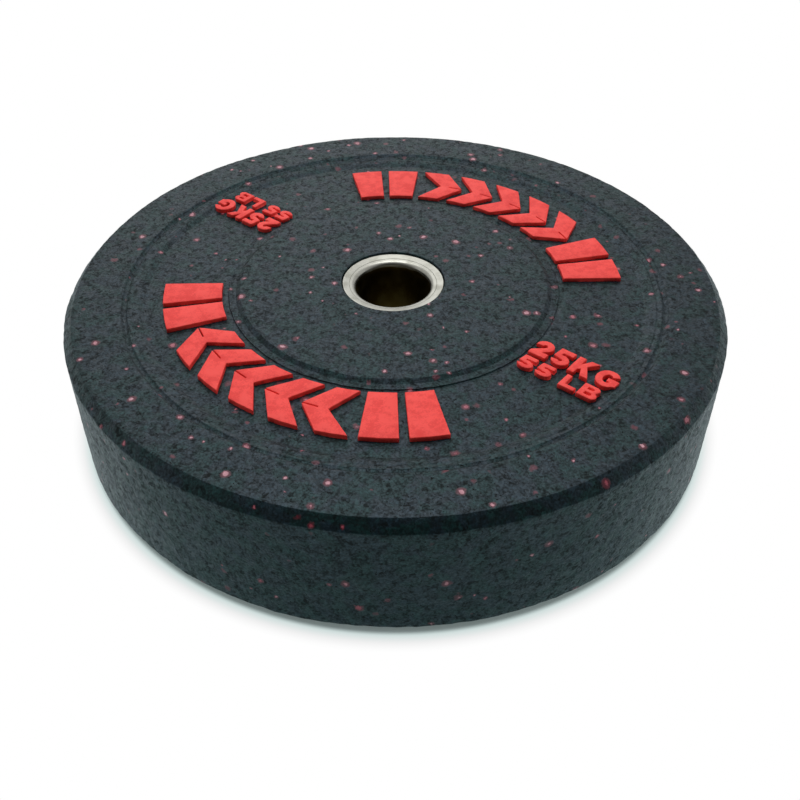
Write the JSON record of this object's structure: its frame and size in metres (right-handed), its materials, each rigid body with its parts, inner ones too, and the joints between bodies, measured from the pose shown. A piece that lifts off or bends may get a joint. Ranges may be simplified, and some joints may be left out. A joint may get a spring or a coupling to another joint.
{
  "type": "bumper weight plate",
  "caption": "Thick round rubber weight plate with a flanged steel hub through its middle, a recessed web on each face and red rubber inserts set into it.",
  "frame": {"origin": "centre of the underside, on the surface that the plate lies on", "axes": "+Z along the plate's axis, up out of the upper face; +X to the right of the picture's view"},
  "size_m": [0.45, 0.45, 0.094],
  "materials": {
    "crumb_rubber": "matt pressed crumb rubber, charcoal grey with small dark pits and sparse red flecks",
    "red_rubber": "smooth satin coloured rubber",
    "stainless_hub": "turned and polished stainless steel, warm light grey",
    "anchor_steel": "plated sheet steel, hidden in the rubber"
  },
  "bodies": {
    "root": {"rubber_body": "crumb_rubber", "upper_hub_sleeve": "stainless_hub", "lower_hub_sleeve": "stainless_hub", "anchor_disc": "anchor_steel", "upper_band1_bar_1": "red_rubber", "upper_band1_bar_2": "red_rubber", "upper_band1_chevron_3": "red_rubber", "upper_band1_chevron_4": "red_rubber", "upper_band1_chevron_5": "red_rubber", "upper_band1_chevron_6": "red_rubber", "upper_band1_chevron_7": "red_rubber", "upper_band1_bar_8": "red_rubber", "upper_band1_bar_9": "red_rubber", "upper_band2_bar_1": "red_rubber", "upper_band2_bar_2": "red_rubber", "upper_band2_chevron_3": "red_rubber", "upper_band2_chevron_4": "red_rubber", "upper_band2_chevron_5": "red_rubber", "upper_band2_chevron_6": "red_rubber", "upper_band2_chevron_7": "red_rubber", "upper_band2_bar_8": "red_rubber", "upper_band2_bar_9": "red_rubber", "upper_mark1_2": "red_rubber", "upper_mark1_5": "red_rubber", "upper_mark1_K": "red_rubber", "upper_mark1_G": "red_rubber", "upper_mark1_pounds_line": "red_rubber", "upper_mark2_2": "red_rubber", "upper_mark2_5": "red_rubber", "upper_mark2_K": "red_rubber", "upper_mark2_G": "red_rubber", "upper_mark2_pounds_line": "red_rubber", "lower_band1_bar_1": "red_rubber", "lower_band1_bar_2": "red_rubber", "lower_band1_chevron_3": "red_rubber", "lower_band1_chevron_4": "red_rubber", "lower_band1_chevron_5": "red_rubber", "lower_band1_chevron_6": "red_rubber", "lower_band1_chevron_7": "red_rubber", "lower_band1_bar_8": "red_rubber", "lower_band1_bar_9": "red_rubber", "lower_band2_bar_1": "red_rubber", "lower_band2_bar_2": "red_rubber", "lower_band2_chevron_3": "red_rubber", "lower_band2_chevron_4": "red_rubber", "lower_band2_chevron_5": "red_rubber", "lower_band2_chevron_6": "red_rubber", "lower_band2_chevron_7": "red_rubber", "lower_band2_bar_8": "red_rubber", "lower_band2_bar_9": "red_rubber", "lower_mark1_2": "red_rubber", "lower_mark1_5": "red_rubber", "lower_mark1_K": "red_rubber", "lower_mark1_G": "red_rubber", "lower_mark1_pounds_line": "red_rubber", "lower_mark2_2": "red_rubber", "lower_mark2_5": "red_rubber", "lower_mark2_K": "red_rubber", "lower_mark2_G": "red_rubber", "lower_mark2_pounds_line": "red_rubber"}
  },
  "joints": []
}
